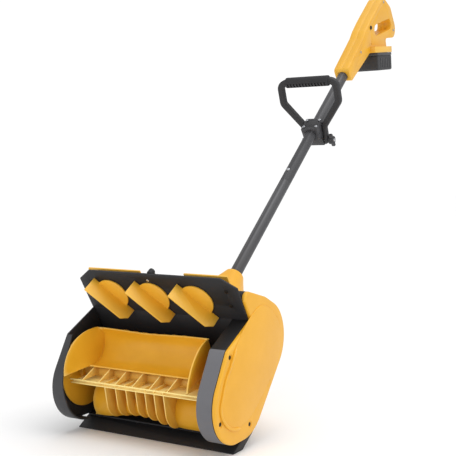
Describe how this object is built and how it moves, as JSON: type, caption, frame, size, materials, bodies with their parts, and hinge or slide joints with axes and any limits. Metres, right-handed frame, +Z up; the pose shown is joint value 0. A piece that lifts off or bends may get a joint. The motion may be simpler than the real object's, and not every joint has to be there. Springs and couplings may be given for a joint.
{
  "type": "cordless snow shovel",
  "caption": "Battery snow shovel: finned rotor in a scoop housing with steerable vanes on a leaning plate, a long angled pole, a front loop handle and a rear trigger handle.",
  "frame": {"origin": "on the floor at the middle of the scraper's lip, on the flat underside that the shovel rests on", "axes": "+Z up, -Y forwards out of the rotor's mouth, +X towards the belt side; the pole rises towards +Y"},
  "size_m": [0.359, 1.2603, 0.97],
  "materials": {
    "yellow_plastic": "glossy",
    "yellow_rotor": "glossy",
    "black_plastic": "satin",
    "grey_plastic": "satin",
    "soft_grip": "matte",
    "tube_paint": "satin",
    "bare_steel": "satin",
    "alloy": "satin",
    "belt_rubber": "matte",
    "contact_brass": "satin",
    "cell_wrap": "glossy",
    "board_green": "glossy"
  },
  "bodies": {
    "housing": {"auger_housing": "black_plastic", "left_cheek": "black_plastic", "belt_case": "grey_plastic", "side_cover": "yellow_plastic", "cover_screws": "bare_steel", "scraper_blade": "black_plastic", "scraper_screws": "bare_steel", "deflector_plate": "black_plastic", "plate_screws": "bare_steel", "lever_post": "bare_steel", "left_bearing": "bare_steel", "right_bearing": "bare_steel", "bearing_cap": "black_plastic", "drive_belt": "belt_rubber", "motor": "bare_steel", "motor_screws": "bare_steel", "rear_housing": "yellow_plastic", "lower_tube": "tube_paint", "upper_tube": "tube_paint", "joint_sleeve": "alloy", "socket_screw": "bare_steel", "power_cable": "belt_rubber", "cable_connector": "grey_plastic", "handle_shell_left": "yellow_plastic", "handle_shell_right": "yellow_plastic", "handle_screws": "bare_steel", "trigger_pin": "bare_steel", "trigger_switch": "grey_plastic", "control_board": "board_green", "battery_contacts": "contact_brass"},
    "rotor": {"rotor": "yellow_rotor", "rotor_shaft": "bare_steel", "rotor_pulley": "grey_plastic"},
    "motor_rotor": {"motor_spindle": "bare_steel", "drive_pulley": "alloy"},
    "vane_left": {"vane_left": "yellow_plastic", "crank_left": "grey_plastic"},
    "vane_middle": {"vane_middle": "yellow_plastic", "crank_middle": "grey_plastic"},
    "vane_right": {"vane_right": "yellow_plastic", "crank_right": "grey_plastic"},
    "link_bar": {"link_bar": "bare_steel"},
    "steering_lever": {"steering_lever": "black_plastic"},
    "snap_button": {"snap_button": "bare_steel"},
    "clamp": {"clamp_upper": "black_plastic", "clamp_lower": "black_plastic", "clamp_screws": "bare_steel", "clamp_bolt": "bare_steel"},
    "clamp_knob": {"clamp_knob": "black_plastic"},
    "front_handle": {"handle_loop": "grey_plastic", "handle_grip": "soft_grip"},
    "trigger": {"trigger": "black_plastic"},
    "lock_button": {"lock_button": "black_plastic"},
    "battery": {"battery_case": "grey_plastic", "battery_lid": "grey_plastic", "battery_cells": "cell_wrap"},
    "battery_latch": {"battery_latch": "black_plastic"}
  },
  "joints": [
    {"name": "rotor_spin", "type": "hinge", "parent": "housing", "child": "rotor", "pos_m": [0, 0.016, 0.108], "axis": [1, 0, 0], "continuous": true},
    {"name": "motor_spin", "type": "hinge", "parent": "housing", "child": "motor_rotor", "pos_m": [0, 0.108, 0.188], "axis": [1, 0, 0], "continuous": true},
    {"name": "lever_swing", "type": "hinge", "parent": "housing", "child": "steering_lever", "pos_m": [-0.013, 0.00599, 0.28499], "axis": [0, -0.8387, -0.5446], "range_deg": [0, 56]},
    {"name": "vane_left_swing", "type": "hinge", "parent": "housing", "child": "vane_left", "pos_m": [-0.105, 0.02608, 0.25405], "axis": [0, -0.8387, -0.5446], "range_deg": [-82.1, 0]},
    {"name": "vane_middle_swing", "type": "hinge", "parent": "housing", "child": "vane_middle", "pos_m": [-0.013, 0.02608, 0.25405], "axis": [0, -0.8387, -0.5446], "range_deg": [-82.1, 0]},
    {"name": "vane_right_swing", "type": "hinge", "parent": "housing", "child": "vane_right", "pos_m": [0.079, 0.02608, 0.25405], "axis": [0, -0.8387, -0.5446], "range_deg": [-82.1, 0]},
    {"name": "link_bar_slide", "type": "slide", "parent": "housing", "child": "link_bar", "axis": [1, 0, 0], "range_m": [0, 0.0246]},
    {"name": "front_handle_move", "type": "slide", "parent": "housing", "child": "clamp", "axis": [0, 0.7705, 0.6374], "range_m": [-0.06, 0.12]},
    {"name": "front_handle_tilt", "type": "hinge", "parent": "clamp", "child": "front_handle", "pos_m": [0, 0.6986, 0.5614], "axis": [1, 0, 0], "range_deg": [-15, 30]},
    {"name": "clamp_knob_turn", "type": "hinge", "parent": "clamp", "child": "clamp_knob", "pos_m": [0, 0.6986, 0.5614], "axis": [1, 0, 0], "continuous": true},
    {"name": "trigger_squeeze", "type": "hinge", "parent": "housing", "child": "trigger", "pos_m": [0, 1.02912, 0.89608], "axis": [1, 0, 0], "range_deg": [0, 8], "stiffness_Nm_per_rad": 0.5, "springref_deg": -5.73},
    {"name": "lock_press", "type": "slide", "parent": "housing", "child": "lock_button", "axis": [-1, 0, 0], "range_m": [0, 0.003], "stiffness_N_per_m": 200, "springref_m": -0.002},
    {"name": "snap_button_press", "type": "slide", "parent": "housing", "child": "snap_button", "axis": [0, 0.6374, -0.7705], "range_m": [0, 0.0025], "stiffness_N_per_m": 400, "springref_m": -0.002},
    {"name": "battery_slide", "type": "slide", "parent": "housing", "child": "battery", "axis": [0, 0.9903, 0.1392], "range_m": [0, 0.1]},
    {"name": "battery_latch_press", "type": "slide", "parent": "battery", "child": "battery_latch", "axis": [0, -0.9903, -0.1392], "range_m": [0, 0.003], "stiffness_N_per_m": 400, "springref_m": -0.002}
  ],
  "couplings": [
    {"joint": "motor_spin", "follows": "rotor_spin", "ratio": 5.4545},
    {"joint": "vane_left_swing", "follows": "lever_swing", "ratio": -1.4643},
    {"joint": "vane_middle_swing", "follows": "lever_swing", "ratio": -1.4643},
    {"joint": "vane_right_swing", "follows": "lever_swing", "ratio": -1.4643},
    {"joint": "link_bar_slide", "follows": "lever_swing", "m_per_rad": 0.024903}
  ]
}
